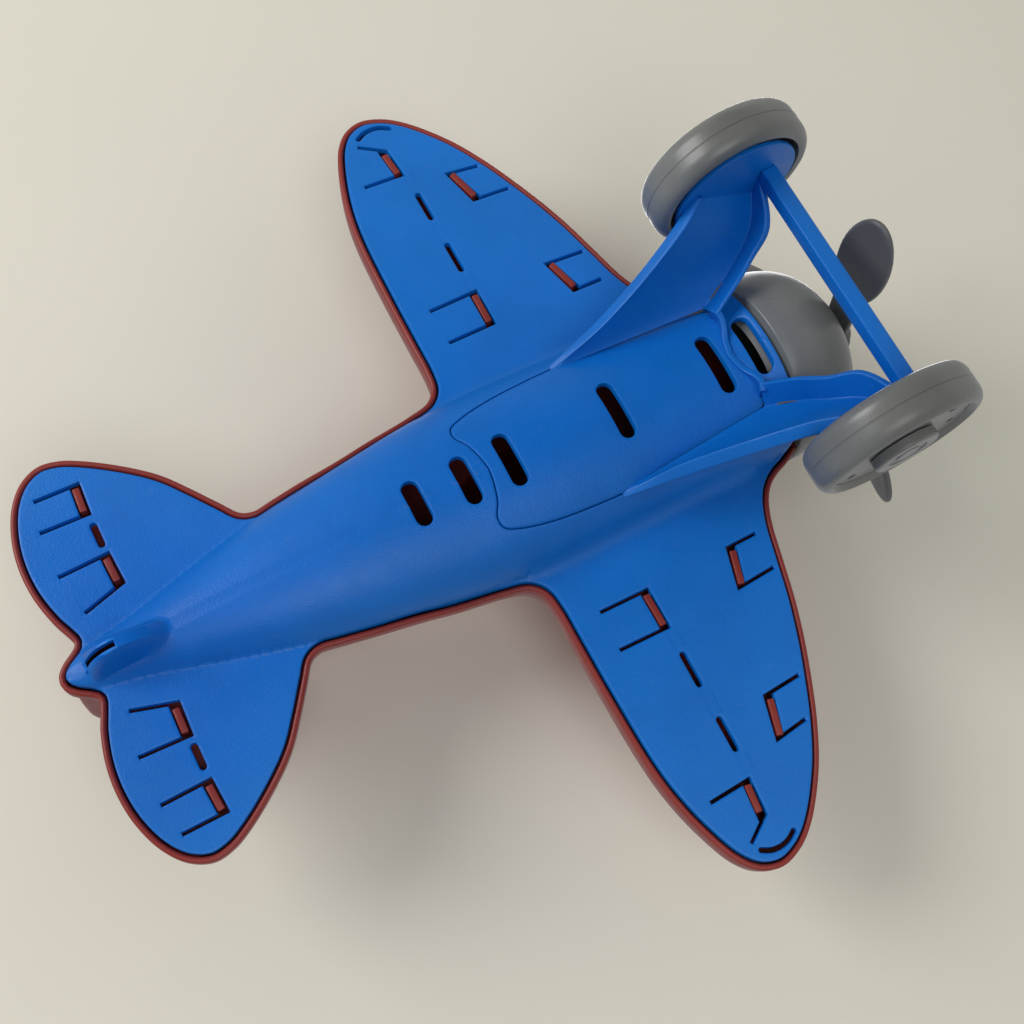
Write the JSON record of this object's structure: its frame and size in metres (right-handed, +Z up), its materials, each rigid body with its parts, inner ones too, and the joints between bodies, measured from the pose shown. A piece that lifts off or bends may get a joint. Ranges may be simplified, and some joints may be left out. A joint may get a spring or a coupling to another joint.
{
  "type": "toy airplane",
  "caption": "Retro moulded-plastic toy airplane: red top shell, blue snap-in belly, blue strutted landing gear, grey wheels, cowl and spinning propeller.",
  "frame": {"origin": "centre of the footprint box, on the floor that both wheels and the tail skid stand on", "axes": "+X towards the nose, +Y towards the left wing tip, +Z up; the nose is tipped up as it stands"},
  "size_m": [0.2416, 0.2448, 0.1036],
  "materials": {
    "red_plastic": "satin",
    "blue_plastic": "satin",
    "grey_plastic": "satin",
    "dark_grey_plastic": "satin"
  },
  "bodies": {
    "airframe": {"upper_body": "red_plastic", "lower_body": "blue_plastic", "landing_gear": "blue_plastic", "nose_cowl": "grey_plastic", "left_hub_cap": "grey_plastic", "right_hub_cap": "grey_plastic"},
    "propeller": {"propeller": "dark_grey_plastic"},
    "left_wheel": {"left_wheel": "grey_plastic"},
    "right_wheel": {"right_wheel": "grey_plastic"}
  },
  "joints": [
    {"name": "propeller_spin", "type": "hinge", "parent": "airframe", "child": "propeller", "pos_m": [0.10629, 0, 0.07066], "axis": [0.9709, 0, 0.2393], "continuous": true},
    {"name": "left_wheel_spin", "type": "hinge", "parent": "airframe", "child": "left_wheel", "pos_m": [0.09361, 0.04151, 0.02332], "axis": [0, 1, 0], "continuous": true},
    {"name": "right_wheel_spin", "type": "hinge", "parent": "airframe", "child": "right_wheel", "pos_m": [0.09361, -0.04151, 0.02332], "axis": [0, 1, 0], "continuous": true}
  ]
}
